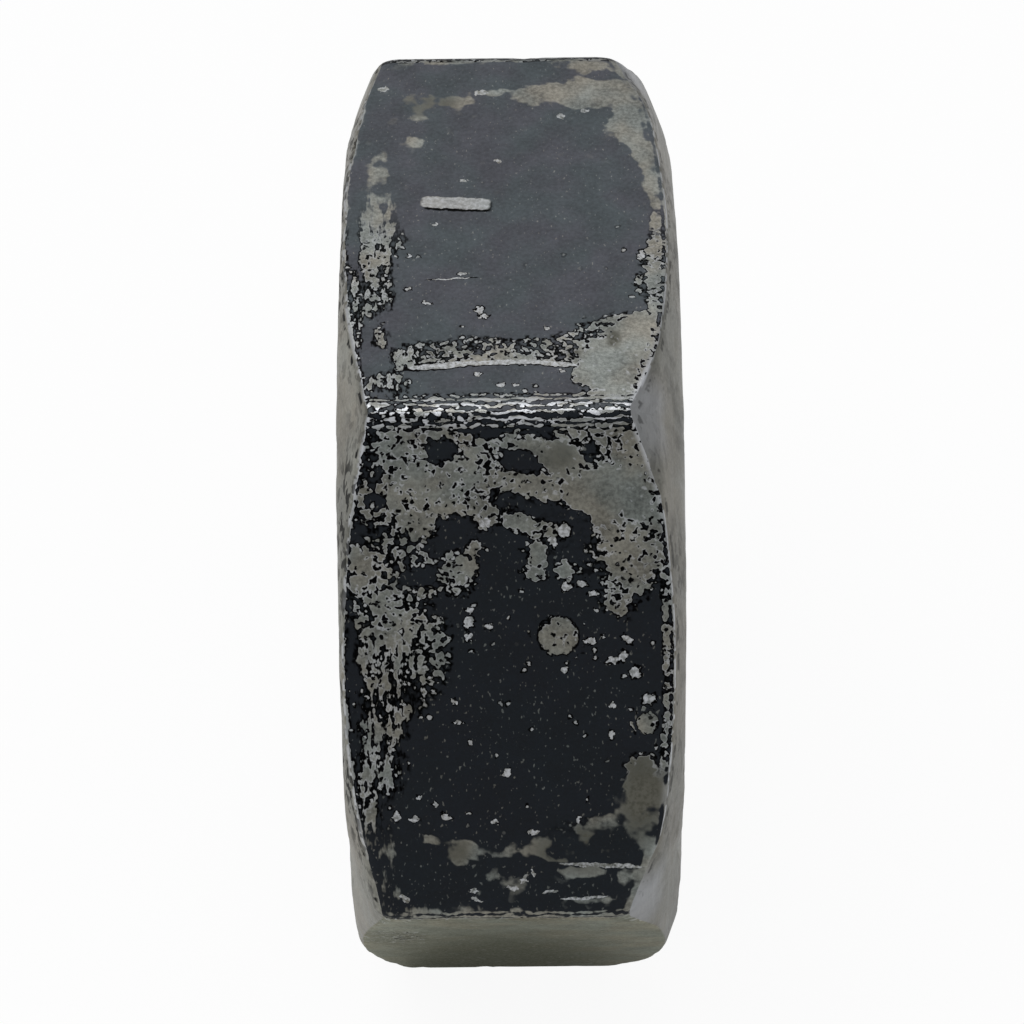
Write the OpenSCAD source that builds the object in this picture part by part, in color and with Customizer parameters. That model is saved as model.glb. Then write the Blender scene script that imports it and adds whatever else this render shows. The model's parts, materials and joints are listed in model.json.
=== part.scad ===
// Crankshaft nut: a thin hexagon nut with a fine right-hand thread, standing on one of its flats.
// The bore axis runs along X at half the width across the flats, and +X is the bearing side.

/* [Hexagon] */
// Width across two opposite flats
across_flats = 32; // [28:0.5:46]
// Thickness from the outer face to the bearing face
thickness = 12; // [9:0.5:24]
// Radius of the worn edge between two neighbouring flats
corner_r = 0.6; // [0.2:0.1:1.5]

/* [Bearing side] */
// How far the edge of the bearing face lies inside the flats
bearing_inset = 1.1; // [0.2:0.1:2]
// Slope of the turned chamfer round the bearing face, from the face
bearing_slope = 22; // [10:1:35]
// How far the second chamfer reaches in from each sharp corner
corner_break = 1.3; // [0.5:0.1:2]
// Slope of that second chamfer, from the face
corner_break_slope = 40; // [36:1:50]

/* [Outer side] */
// How far the edge of the outer face lies inside the flats
outer_inset = 0.3; // [0:0.1:2]
// Slope of the turned chamfer round the outer face, from the face
outer_slope = 24; // [10:1:40]

/* [Thread] */
// Nominal diameter of the thread
thread_d = 22; // [14:1:24]
// Pitch of the thread
thread_pitch = 1.5; // [1:0.25:2]
// Width of the countersink at each end, over the thread's nominal diameter
countersink_over = 1; // [0.4:0.1:1.4]
// Full angle of the countersinks
countersink_angle = 120; // [90:5:130]

/* [Hidden] */
$fn = 96;
sides = 6;
flat_r = across_flats / 2;
sharp_corner_r = flat_r / cos(180 / sides);
// The bore is the crest diameter of an internal metric thread
bore_d = thread_d - 1.0825 * thread_pitch;
countersink_d = thread_d + countersink_over;
countersink_depth = (countersink_d - bore_d) / 2 / tan(countersink_angle / 2);
half_t = thickness / 2;
bearing_face_r = flat_r - bearing_inset;
outer_face_r = flat_r - outer_inset;
corner_break_r = sharp_corner_r - corner_break;
// Cutting shapes reach this far past what they cut
overrun = 1;

// Depth of a chamfer of the given slope after it has run outward from one radius to another
function drop(from_r, to_r, slope) = (to_r - from_r) * tan(slope);

// Outline of the hexagon with round corners, one flat towards +x
module hexagon_outline() {
    // The corner arcs meet the flats at right angles to them, half_flat from the middle of each flat
    half_flat = (flat_r - corner_r) * tan(180 / sides);
    polygon([
        for (i = [0 : sides - 1], end = [-1, 1])
            let (turn = i * 360 / sides)
            flat_r * [cos(turn), sin(turn)] + end * half_flat * [-sin(turn), cos(turn)]
    ]);
    for (i = [0 : sides - 1])
        rotate((i + 0.5) * 360 / sides)
            translate([(flat_r - corner_r) / cos(180 / sides), 0])
                circle(r = corner_r);
}

// Turned form that trims the hexagon: flat faces with a chamfer on one side and two on the other
module turned_envelope() {
    reach = sharp_corner_r + overrun;
    break_x = half_t - drop(bearing_face_r, corner_break_r, bearing_slope);
    rotate_extrude()
        polygon([
            [0, -half_t],
            [outer_face_r, -half_t],
            [reach, -half_t + drop(outer_face_r, reach, outer_slope)],
            [reach, break_x - drop(corner_break_r, reach, corner_break_slope)],
            [corner_break_r, break_x],
            [bearing_face_r, half_t],
            [0, half_t]
        ]);
}

// Bore with a countersink at each end, as one turned shape to take away
module threaded_bore() {
    mouth_r = countersink_d / 2 + overrun * tan(countersink_angle / 2);
    rotate_extrude()
        polygon([
            [0, -half_t - overrun],
            [mouth_r, -half_t - overrun],
            [bore_d / 2, -half_t + countersink_depth],
            [bore_d / 2, half_t - countersink_depth],
            [mouth_r, half_t + overrun],
            [0, half_t + overrun]
        ]);
}

module nut() {
    color([0.24, 0.25, 0.26])
        translate([0, 0, flat_r])
            rotate([0, 90, 0])
                difference() {
                    intersection() {
                        linear_extrude(thickness, center = true)
                            hexagon_outline();
                        turned_envelope();
                    }
                    threaded_bore();
                }
}

nut();
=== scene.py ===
"""Crankshaft nut: a thin steel hexagon nut whose black oxide has worn through, standing on one flat.

The body and its thread come from one Geometry Nodes tree. The finish is procedural: each of the three
flats that face the camera has its own list of worn patches, and the other flats wear by rule.
"""

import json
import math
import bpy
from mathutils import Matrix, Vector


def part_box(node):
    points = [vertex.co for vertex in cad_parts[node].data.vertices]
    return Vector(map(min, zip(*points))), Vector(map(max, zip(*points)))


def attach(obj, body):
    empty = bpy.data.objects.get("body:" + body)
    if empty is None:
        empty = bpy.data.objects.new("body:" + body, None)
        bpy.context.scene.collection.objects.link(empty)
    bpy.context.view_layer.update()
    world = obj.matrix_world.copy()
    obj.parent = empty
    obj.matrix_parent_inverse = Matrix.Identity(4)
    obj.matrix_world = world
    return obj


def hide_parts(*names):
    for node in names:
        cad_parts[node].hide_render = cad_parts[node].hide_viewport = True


bl_info = {
    "name": "Crankshaft Nut",
    "version": (1, 0, 0),
    "blender": (4, 5, 0),
    "location": "View3D > Sidebar > Nut",
    "description": "Builds a worn black-oxide crankshaft nut with a fine thread, and a stage to show it on",
    "category": "Object",
}

from collections import namedtuple

import bmesh
import bpy
from mathutils import Matrix, Vector

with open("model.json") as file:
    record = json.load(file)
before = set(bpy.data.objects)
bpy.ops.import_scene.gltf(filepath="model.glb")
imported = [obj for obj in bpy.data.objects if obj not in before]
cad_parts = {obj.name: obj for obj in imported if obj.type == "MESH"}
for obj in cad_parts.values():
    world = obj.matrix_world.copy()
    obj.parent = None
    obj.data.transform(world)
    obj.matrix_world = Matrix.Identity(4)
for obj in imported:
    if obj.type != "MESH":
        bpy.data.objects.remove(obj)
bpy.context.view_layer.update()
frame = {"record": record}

# Sizes read from the frame, in metres
NODE = "nut"
BODY = "root"
NODE_LOW, NODE_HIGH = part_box(NODE)
MOUNTS = {mount["name"]: mount for mount in frame["record"]["mounts"]}
ACROSS_FLATS = NODE_HIGH.z - NODE_LOW.z
THICKNESS = NODE_HIGH.x - NODE_LOW.x
BORE_RADIUS = MOUNTS["thread"]["dims"]["r_mm"] / 1000
AXIS_HEIGHT = MOUNTS["thread"]["pos_m"][2]
MM = 0.001

# The hexagon: turns from one flat to the next, and how its corners follow from the frame
SIDES = 6
SIDE_TURN = 2 * math.pi / SIDES
HALF_TURN = SIDE_TURN / 2
FLAT_RADIUS = ACROSS_FLATS / 2
SHARP_RADIUS = FLAT_RADIUS / math.cos(HALF_TURN)
CORNER_RADIUS = (SHARP_RADIUS - NODE_HIGH.y) / (1 / math.cos(HALF_TURN) - 1)

# An internal metric thread: its roots lie this share of the pitch outside its crests, which form the bore
TOOTH_SHARE = 0.5413

# Mesh divisions
FLAT_COLUMNS = 96
CORNER_COLUMNS = 8
COLUMNS = SIDES * (FLAT_COLUMNS + CORNER_COLUMNS)
# Rows on the outer face, outer chamfer, flat, corner break, bearing chamfer and bearing face
SECTION_ROWS = (8, 8, 52, 8, 10, 8)
FLAT_SECTION = 2
# Rows in one pitch of the thread: how far each goes along the pitch, and up the tooth
TOOTH_STEPS = (0.25, 0.15625, 0.15625, 0.125, 0.15625, 0.15625)
TOOTH_RISES = (0, 0.5, 0.5, 0, -0.5, -0.5)
# Points this near to each other become one
MERGE_DISTANCE = 1.5e-5
SHARP_ANGLE = math.radians(38)
# Edges are rounded in passes that move points towards a ring of this radius, halfway through the nut
CORE_RADIUS = 0.0132
ROUNDING_PASSES = 3
ROUNDING_GAIN = 0.9

# A patch reaches this far in the third coordinate, so that only the other two count
FAR = 1e6
# The pattern on each flat lies this far from the one on the flat before it
PATTERN_STEP = 17.3

# Stage, in metres and watts
LAMP_PLACE = (-0.12, 0.04, 0.48)
LAMP_SIZE = 0.45
LAMP_POWER = 1.2
FLOOR_DROP = 0.02 * MM
# How much of the floor glows, as the camera sees it and as the nut mirrors it
FLOOR_SEEN = 0.93
FLOOR_MIRRORED = 0.15

# The flats that the camera sees, counted from the top one towards it
TOP_SIDE = 0
FRONT_SIDE = 1
FOOT_SIDE = 2
# Every finish; each face of the mesh keeps the number of its own until the materials are set
FINISHES = ("top_flat", "front_flat", "foot_flat", "plain_flat", "turned", "thread")


# A worn or coated place on a flat, in mm: its middle across and along the flat, half its size each way,
# how far it is turned in degrees, the share of bare steel or stain in it, and how softly it ends
Patch = namedtuple("Patch", "across along half_across half_along turn bare soft", defaults=(0, 1.0, 0.25))


def patches(*rows):
    """A list of patches from their numbers."""
    return [Patch(*row) for row in rows]


# The front flat, from the corner at its top to the corner at its foot; later patches lie over earlier ones
FRONT_WEAR = patches(
    # Bare zone under the upper corner and down the outer side
    (0, -7.2, 6.6, 2.7, 0, 0.66, 0.12),
    (-3.9, -1.4, 1.75, 3.8, 0, 0.47, 0.2),
    (-4.1, -1.6, 0.6, 1.2, 0, 0.65, 0.4),
    (-4.5, 2.6, 0.95, 2.0, 0, 0.46, 0.3),
    (-5.1, -3.6, 0.55, 1.0, 0, 0.75),
    (-2.6, -6.4, 1.6, 1.0, 0, 0.76, 0.3),
    (3.4, -6.1, 1.7, 1.05, 0, 0.96, 0.15),
    (3.9, -4.0, 1.15, 1.5, 0, 0.68),
    (3.6, -2.3, 0.6, 0.5, 0, 0.65),
    # Oxide left inside that zone
    (-4.7, -7.6, 0.4, 1.2, 0, 0.35),
    (-4.6, -6.1, 0.38, 0.3, 0, 0.05),
    (-2.3, -7.85, 0.6, 0.45, 0, 0.05),
    (-0.8, -8.6, 0.95, 0.27, 0, 0.03),
    (1.0, -8.6, 0.75, 0.34, 5, 0.05),
    (0.55, -7.55, 0.85, 0.52, 0, 0.04),
    (2.6, -7.7, 0.38, 0.55, 0, 0.12),
    (0.6, -7.95, 0.35, 0.2),
    (1.65, -7.65, 0.68, 0.45, 0, 1.1, 0.15),
    (0.1, -6.0, 0.95, 0.34, 12, 0.1),
    (1.4, -5.65, 1.1, 0.35, 8, 0.08),
    (2.25, -4.95, 0.55, 0.75, 0, 0.08),
    (1.55, -4.3, 0.38, 0.8, 0, 0.1),
    (2.6, -3.5, 0.65, 0.6, 0, 0.12),
    (-1.9, -5.0, 0.85, 0.62, -20, 0.05),
    (-3.15, -3.4, 0.9, 0.42, -5, 0.06),
    (-2.1, -2.35, 0.75, 0.48, 0, 0.05),
    # The large field of oxide
    (-0.3, -4.3, 0.9, 1.0, 0, 0.02),
    (1.3, 0.4, 3.5, 3.2, 0, 0.05, 0.12),
    (0.2, 3.2, 4.1, 3.4, 0, 0.04, 0.12),
    (4.2, 0.5, 0.85, 2.7, 0, 0.05, 0.15),
    (-5.8, 0.5, 0.5, 3.2, 0, 0.08),
    # Islands of bare steel in it
    (0.15, -5.2, 0.55, 0.23),
    (0.85, -4.1, 0.4, 0.46, 0, 0.98),
    (0.75, -3.5, 0.42, 0.22, 0, 0.92),
    (1.8, -3.6, 0.34, 0.4, 0, 0.88),
    (-1.25, -4.5, 0.2, 0.32, 0, 0.92),
    (-1.8, -3.5, 0.62, 0.85, 10, 0.62),
    (1.55, -1.25, 0.78, 0.8, 0, 0.76, 0.1),
    (4.6, 1.95, 0.44, 0.46, 0, 0.85, 0.1),
    # Dull wear above the lower corner
    (4.5, 4.1, 0.7, 0.9, 0, 0.9),
    (4.4, 5.6, 0.7, 1.0, 0, 0.66),
    (3.2, 5.6, 0.8, 0.4, -10, 0.5),
    (2.4, 6.2, 1.2, 0.5, 0, 0.4, 0.5),
    (-1.95, 6.62, 0.62, 0.48, 0, 0.68, 0.2),
    (-2.9, 6.3, 0.32, 0.2, 20, 0.6),
    (-0.6, 6.65, 1.4, 0.24, 0, 0.56, 0.4),
    (0.8, 6.5, 0.5, 0.4, 0, 0.58, 0.4),
    (1.4, 6.95, 0.5, 0.16, 10, 0.95),
    (2.4, 7.45, 0.75, 0.2, 0, 0.88, 0.4),
    (3.9, 7.6, 0.4, 0.38, 0, 0.72, 0.4),
    (3.0, 8.05, 0.55, 0.3, 0, 0.45, 0.4),
    (-0.6, 7.75, 0.9, 0.4, 10, 0.3, 0.5),
    (-4.4, 7.4, 0.35, 1.6, 0, 0.4),
    (2.6, 8.5, 1.4, 0.12, -3, 0.65),
    (-1.3, 8.4, 0.22, 0.4, 0, 0.55),
    (0, 8.98, 4.4, 0.13, 0, 0.5),
    (-5.1, 4.6, 0.4, 1.6, 5, 0.5),
    (-4.7, 6.2, 0.45, 0.8, 0, 0.3),
)

# The top flat, from the corner at the back to the corner it shares with the front flat
TOP_WEAR = patches(
    # Bare sweep round the oxide field at the back and on the bearing side
    (5.2, -3.0, 1.7, 5.4, 0, 1.0, 0.15),
    (2.9, -7.0, 2.6, 0.85, -6, 0.96, 0.2),
    (0.2, -7.15, 1.6, 0.18, 0, 0.75, 0.5),
    (2.8, -8.5, 1.1, 0.5, 0, 0.55, 0.5),
    (3.3, -8.7, 0.4, 0.3, 0, 0.9, 0.5),
    (2.2, -8.0, 0.6, 0.3, 0, 0.52, 0.5),
    (0.5, -0.4, 4.55, 6.15, 0, 0.0, 0.05),
    # Bare steel and porous oxide above the front corner
    (4.2, 6.6, 2.0, 1.95, 0, 0.92, 0.1),
    (3.4, 7.6, 1.25, 0.85, 0, 0.94, 0.1),
    (4.5, 5.3, 0.8, 0.7, -20, 1.1, 0.1),
    (5.3, 3.0, 0.5, 2.5, 0, 0.75),
    (4.6, 3.2, 0.3, 0.55, 0, 0.5),
    (-0.6, 6.3, 3.0, 0.55, 0, 0.41),
    (-0.6, 6.78, 2.8, 0.2, 0, 0.66, 0.5),
    (2.6, 5.6, 1.3, 0.4, -25, 0.45, 0.4),
    (-3.5, 6.6, 0.5, 0.5, 30, 0.55, 0.3),
    (-0.8, 7.85, 2.95, 0.62, 0, 0.02, 0.08),
    (0, 9.0, 6.5, 0.5, 0, 0.58, 0.2),
    (3.2, 8.6, 0.8, 0.3, 0, 0.9, 0.4),
    # Streaks down the outer side
    (-4.85, 0.6, 0.4, 2.7, 0, 0.68, 0.3),
    (-4.3, 0.8, 0.3, 2.4, 0, 0.52, 0.4),
    (-4.6, -3.0, 0.42, 1.2, 0, 0.5, 0.4),
    (-3.95, 0.7, 0.26, 0.8, 0, 0.42, 0.4),
    (-4.7, 3.6, 0.6, 1.0, 0, 0.52, 0.4),
    (-5.5, 3.0, 0.28, 0.8, 0, 0.42),
    (-5.3, 5.2, 0.28, 1.5, 4, 0.42),
    (-4.45, 5.7, 0.24, 0.45, 0, 0.62),
    (-4.2, 7.9, 0.75, 0.5, 0, 0.5, 0.4),
    (-3.75, 7.0, 0.2, 0.5, 30, 0.6, 0.4),
    # Pale clouds at the back
    (-3.0, -6.6, 1.2, 0.42, 0, 0.58, 0.6),
    (-3.3, -6.0, 0.5, 0.36, 0, 0.55, 0.6),
    (-1.6, -6.7, 0.7, 0.3, 0, 0.52, 0.6),
    (-3.4, -4.5, 0.32, 0.3, 0, 0.8, 0.6),
)

# Small chips with clean bare steel
FRONT_CHIPS = patches(
    (-0.9, -5.3, 0.22, 0.16),
    (1.75, -5.0, 0.24, 0.26),
    (1.4, -4.6, 0.13, 0.2),
    (1.85, -3.0, 0.2, 0.15),
    (2.35, -3.1, 0.15, 0.13),
    (2.75, -2.75, 0.16, 0.11),
    (2.65, -1.05, 0.2, 0.12),
    (1.75, 0.0, 0.13, 0.1),
    (3.1, -1.2, 0.08, 0.08),
    (3.9, -1.1, 0.22, 0.12, 40),
    (3.4, -0.35, 0.22, 0.12, -20),
    (3.75, -0.5, 0.14, 0.22, 20),
    (4.2, 0.1, 0.2, 0.22),
    (4.65, 1.1, 0.26, 0.18, -30),
    (3.4, 1.3, 0.1, 0.1),
    (3.35, 2.35, 0.1, 0.18, -20),
    (-0.25, 3.75, 0.12, 0.17),
    (-0.8, -1.6, 0.13, 0.1),
    (-1.5, -1.75, 0.16, 0.24, 20),
    (-1.5, -1.25, 0.12, 0.14),
    (-1.45, -2.2, 0.13, 0.1),
    (-2.75, 4.9, 0.1, 0.1),
    (-2.4, 5.35, 0.2, 0.1, 30),
    (-3.5, 5.45, 0.18, 0.1),
    (-4.1, 5.35, 0.12, 0.18),
    (2.2, 5.5, 0.1, 0.14),
    (-2.0, 1.1, 0.14, 0.07, 30),
    (-1.95, 1.85, 0.16, 0.06),
    (0.3, 7.7, 0.1, 0.24, 40),
    (0.6, 7.5, 0.08, 0.16, -30),
    (-0.1, 8.05, 0.24, 0.09, 10),
    (-1.45, 8.15, 0.12, 0.1),
    (-1.35, 8.5, 0.26, 0.07, 30),
    (-0.7, 5.55, 0.1, 0.09, 30),
    (0.6, 5.95, 0.2, 0.1),
    (-3.3, 4.6, 0.08, 0.1),
    (-3.9, 8.4, 0.2, 0.08, 40),
)
FRONT_SCRATCHES = patches(
    (3.0, 7.22, 1.6, 0.09, 3),
    (1.2, 8.2, 0.3, 0.06, -5),
    (2.4, 8.45, 0.9, 0.06, -4),
)
TOP_CHIPS = patches(
    (-1.0, -7.15, 0.3, 0.16),
    (4.6, 1.7, 0.12, 0.28),
    (-4.6, -7.4, 0.2, 0.16),
    (1.9, -5.8, 0.12, 0.14),
    (2.75, -6.05, 0.15, 0.12),
    (-0.4, -3.35, 0.14, 0.12),
    (-1.6, -2.3, 0.17, 0.09, 20),
    (-2.6, 0.0, 0.09, 0.13, -30),
    (-1.6, 2.55, 0.15, 0.09),
    (-2.85, 4.0, 0.18, 0.09, 20),
    (-3.5, 3.3, 0.14, 0.1),
    (-3.5, 1.6, 0.08, 0.1),
    (1.3, 5.35, 0.09, 0.1),
    (-1.02, 4.38, 0.14, 0.2, 10),
    (-0.88, 4.68, 0.19, 0.11, -10),
    (-1.1, 7.5, 0.12, 0.07),
    (-0.3, 8.0, 0.14, 0.08),
    (0.2, 8.05, 0.11, 0.07),
    (1.75, 7.4, 0.1, 0.06),
)
TOP_SCRATCHES = patches(
    (-2.0, 2.8, 0.7, 0.04, -4),
    # The pale line over the lens of oxide
    (-2.4, 7.1, 1.1, 0.15, -6),
    (-0.5, 6.96, 2.0, 0.12, -1),
    (1.4, 7.02, 1.0, 0.12, 6),
)

# Round bare spots with a clean edge
FRONT_SPOTS = patches(
    (1.55, -1.25, 0.66, 0.68),
    (4.6, 1.95, 0.36, 0.38),
)

# Brown stains on the bare steel
FRONT_STAINS = patches(
    (1.65, -7.65, 0.6, 0.4, 0, 0.6, 0.5),
    (-2.2, 6.6, 0.6, 0.4, 0, 0.8, 0.5),
    (4.4, 4.6, 0.8, 1.6, 0, 0.9, 0.5),
    (2.4, 6.6, 1.8, 0.8, 0, 0.9, 0.5),
)
TOP_STAINS = patches(
    (-2.6, 6.35, 0.36, 0.34, 0, 1.0, 0.3),
    (-1.3, 6.5, 0.22, 0.2, 0, 1.0, 0.3),
    (2.05, 6.55, 0.24, 0.2, 0, 1.0, 0.3),
    (3.5, 5.85, 0.28, 0.4, 0, 1.0, 0.2),
    (-3.0, -6.5, 1.2, 0.6, 0, 0.7, 0.5),
)
# The flat under the front one is bare and darker towards the foot, painted shade that stands in for the
# mirrored contact shadow, with a darker patch on its outer side
FOOT_WEAR = patches(
    (0, 0, 9.0, 12.0),
    (-4.4, -3.5, 1.0, 2.0, 0, 0.6, 0.6),
)
FOOT_STAINS_AND_SHADE = patches(
    # Painted shade towards the foot, then the darker patch on the outer side
    (-0.8, 8.0, 4.4, 13.0, 0, 1.0, 0.55),
    (-4.6, -3.0, 1.0, 2.5, 0, 0.6, 0.6),
)

# The flats with patches of their own: the side that each is, its wear and its stains
PAINTED = {
    "top_flat": (TOP_SIDE, TOP_WEAR, TOP_STAINS),
    "front_flat": (FRONT_SIDE, FRONT_WEAR, FRONT_STAINS),
    "foot_flat": (FOOT_SIDE, FOOT_WEAR, FOOT_STAINS_AND_SHADE),
}

# The dash is straight-sided, unlike the other patches
DASH = Patch(-1.9, -1.12, 1.22, 0.3, 4)

# Where along a flat its wear turns from crisp to smoky, and how much sooner it does on the bearing side
FRONT_SMOKY = (5.0, 6.4, 2.0)
TOP_SMOKY = (1.5, -1.5, 0.0)
NOT_SMOKY = (20, 21, 0.0)

# The end of a flat where its corner is rubbed bright, partly a painted highlight: how far along the flat, in
# mm, it is fully so.
# Both ends are half rubbed when that lies far past the flat. With no end, no edge of the flat is worn
UPPER_END = -1.0
LOWER_END = 1.0
BOTH_ENDS = 40.0
NO_END = 0

# How a flat looks: its oxide, bare steel and stain, its rubbed end, the share of bare steel at its other
# corner, its marks, and its tint at low angles
CLEAR = (1, 1, 1, 1)
Look = namedtuple(
    "Look",
    "oxide steel stain rubbed_end far_wear chips scratches spots smoky dash glance",
    defaults=(0.43, (), (), (), NOT_SMOKY, False, CLEAR),
)


def length_property(name, description, default):
    """A length that a user can change."""
    return bpy.props.FloatProperty(
        name=name, description=description, default=default, unit="LENGTH", subtype="DISTANCE"
    )


def angle_property(name, description, degrees):
    """An angle that a user can change."""
    return bpy.props.FloatProperty(
        name=name, description=description, default=math.radians(degrees), subtype="ANGLE"
    )


def colour_property(name, description, default):
    """A colour that a user can change."""
    return bpy.props.FloatVectorProperty(
        name=name, description=description, default=default, subtype="COLOR", size=4, min=0, max=1
    )


class NutSizes(bpy.types.PropertyGroup):
    """Sizes of the nut that the frame doesn't state."""

    bearing_inset: length_property(
        "Bearing Inset", "How far the edge of the bearing face lies inside the flats", 1.1 * MM
    )
    bearing_slope: angle_property("Bearing Slope", "Slope of the turned chamfer round the bearing face", 22)
    corner_break: length_property(
        "Corner Break", "How far the second chamfer reaches in from each sharp corner", 1.3 * MM
    )
    corner_break_slope: angle_property(
        "Corner Break Slope", "Slope of the second chamfer on the bearing side", 40
    )
    outer_inset: length_property(
        "Outer Inset", "How far the edge of the outer face lies inside the flats", 0.3 * MM
    )
    outer_slope: angle_property("Outer Slope", "Slope of the turned chamfer round the outer face", 24)
    thread_pitch: length_property(
        "Thread Pitch", "Distance from one turn of the thread to the next", 1.5 * MM
    )
    countersink_over: length_property(
        "Countersink Over", "Width of the countersinks over the thread's nominal diameter", 1.0 * MM
    )
    countersink_angle: angle_property("Countersink Angle", "Full angle of the countersinks", 120)
    edge_radius: length_property(
        "Edge Radius", "Rounding of the worn edges between flats and chamfers", 0.3 * MM
    )
    nick_depth: length_property("Nick Depth", "Depth of the nicks along the edges", 0.07 * MM)
    wave_depth: length_property("Wave Depth", "Unevenness of the flats", 0.015 * MM)


class NutFinish(bpy.types.PropertyGroup):
    """Colours of the nut."""

    # Painted sheen: the top flat's oxide is made lighter to stand in for the overhead light it mirrors; the
    # front flat's oxide is made darker as painted shade
    top_oxide_painted_sheen: colour_property("Top Oxide Painted Sheen", "Dull oxide on the top flat", (0.066, 0.073, 0.082, 1))
    front_oxide_painted_shade: colour_property("Front Oxide Painted Shade", "Black oxide on the front flat", (0.0032, 0.0056, 0.0088, 1))
    plain_oxide: colour_property("Plain Oxide", "Black oxide on the other flats", (0.022, 0.0245, 0.028, 1))
    rim: colour_property("Rim", "Dark rim round each worn patch", (0.002, 0.002, 0.002, 1))
    top_steel: colour_property("Top Steel", "Bare steel of the top flat", (0.285, 0.282, 0.262, 1))
    bare_steel: colour_property("Bare Steel", "Bare steel of the other flats", (0.2, 0.202, 0.186, 1))
    stain: colour_property("Stain", "Dull stain on the bare steel", (0.095, 0.093, 0.074, 1))
    # The grime colour stands mostly for painted shade: the flat under the front one darkens towards its foot,
    # where it mirrors the floor's contact shadow
    grime: colour_property("Grime", "Dark grime on the flat under the front one", (0.035, 0.037, 0.025, 1))
    foot_glance: colour_property("Foot Glance", "Tint of that flat at low angles", (0.76, 0.77, 0.64, 1))
    turned_steel: colour_property("Turned Steel", "Steel of the chamfers and faces", (0.21, 0.207, 0.188, 1))
    # Polished steel also paints highlights along the worn edges and the turned rims
    polished_steel_and_highlight: colour_property("Polished Steel And Highlight", "Steel of worn edges and chips", (0.62, 0.635, 0.66, 1))
    thread_steel: colour_property("Thread Steel", "Steel of the thread", (0.24, 0.235, 0.22, 1))


class NutStage(bpy.types.PropertyGroup):
    """The floor, light and camera."""

    floor_radius: length_property("Floor Radius", "Radius of the pale floor", 1.2)
    floor_colour: colour_property("Floor Colour", "Colour of the pale floor", (0.9, 0.9, 0.9, 1))
    world_colour: colour_property("World Colour", "Colour of the room's soft light", (0.5, 0.505, 0.515, 1))
    camera_elevation: angle_property("Camera Elevation", "Angle of the view above the floor", 47.12)
    camera_yaw: angle_property("Camera Yaw", "How far the camera stands towards the bearing side", 0.37)
    camera_roll: angle_property("Camera Roll", "How far the nut leans over in the picture", 0.6)
    camera_distance: length_property("Camera Distance", "From the camera to the nut's middle", 0.1305)
    camera_lens: bpy.props.FloatProperty(name="Camera Lens", description="Focal length in mm", default=118.5)
    aim_right: length_property(
        "Aim Right", "How far the picture's middle lies to the right of the nut's", -0.09 * MM
    )
    aim_up: length_property("Aim Up", "How far the picture's middle lies above the nut's", 0.72 * MM)


# Node formulas

class Term:
    """One output of a node tree, so that a formula made of nodes reads like a formula."""

    def __init__(self, tree, socket):
        self.tree = tree
        self.socket = socket

    def do(self, operation, *others):
        """The result of a Math node on this term and the others."""
        node = self.tree.nodes.new("ShaderNodeMath")
        node.operation = operation
        for socket, value in zip(node.inputs, (self, *others)):
            feed(self.tree, value, socket)
        return Term(self.tree, node.outputs[0])

    def __add__(self, other):
        return self.do("ADD", other)

    def __sub__(self, other):
        return self.do("SUBTRACT", other)

    def __rsub__(self, other):
        return self.do("MULTIPLY_ADD", -1.0, other)

    def __mul__(self, other):
        return self.do("MULTIPLY", other)

    def __truediv__(self, other):
        return self.do("DIVIDE", other)

    def __rtruediv__(self, other):
        return self.do("POWER", -1.0) * other

    __radd__ = __add__
    __rmul__ = __mul__

    def between(self, low, high):
        """0 at low and 1 at high, with a smooth step from one to the other."""
        inputs = {"Value": self, "From Min": low, "From Max": high}
        node = add_node(self.tree, "ShaderNodeMapRange", inputs, interpolation_type="SMOOTHSTEP")
        return Term(self.tree, node.outputs[0])


def feed(tree, value, socket):
    """Links a term to a socket, or sets the socket to a plain value."""
    if isinstance(value, Term):
        tree.links.new(value.socket, socket)
    else:
        socket.default_value = value


def add_node(tree, kind, inputs=None, **settings):
    """A new node with its settings and inputs."""
    node = tree.nodes.new(kind)
    for name, value in settings.items():
        setattr(node, name, value)
    for key, value in (inputs or {}).items():
        feed(tree, value, node.inputs[key])
    return node


def add_term(tree, kind, inputs=None, output=0, **settings):
    """One output of a new node."""
    return Term(tree, add_node(tree, kind, inputs, **settings).outputs[output])


def vector_of(tree, x, y, z):
    """A vector from three terms or numbers."""
    return add_term(tree, "ShaderNodeCombineXYZ", {0: x, 1: y, 2: z})


def parts_of(tree, vector):
    """The three numbers of a vector."""
    return [Term(tree, socket) for socket in add_node(tree, "ShaderNodeSeparateXYZ", {0: vector}).outputs]


def vector_math(tree, operation, first, second):
    """The result of a Vector Math node on two vectors."""
    return add_term(tree, "ShaderNodeVectorMath", {0: first, 1: second}, operation=operation)


def length_of(tree, vector):
    """The length of a vector."""
    return add_term(tree, "ShaderNodeVectorMath", {0: vector}, output="Value", operation="LENGTH")


def noise(tree, vector, scale, detail=2.0, roughness=0.5):
    """Fractal noise from 0 to 1, mostly near 0.5."""
    inputs = {"Vector": vector, "Scale": scale, "Detail": detail, "Roughness": roughness}
    return add_term(tree, "ShaderNodeTexNoise", inputs)


def mix_value(tree, share, first, second):
    """A number that goes from the first to the second as the share goes from 0 to 1."""
    return add_term(tree, "ShaderNodeMix", {0: share, 2: first, 3: second}, data_type="FLOAT")


def mix_colour(tree, share, first, second):
    """A colour that goes from the first to the second as the share goes from 0 to 1."""
    return add_term(tree, "ShaderNodeMix", {0: share, 6: first, 7: second}, output=2, data_type="RGBA")


# Worn patches

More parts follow.
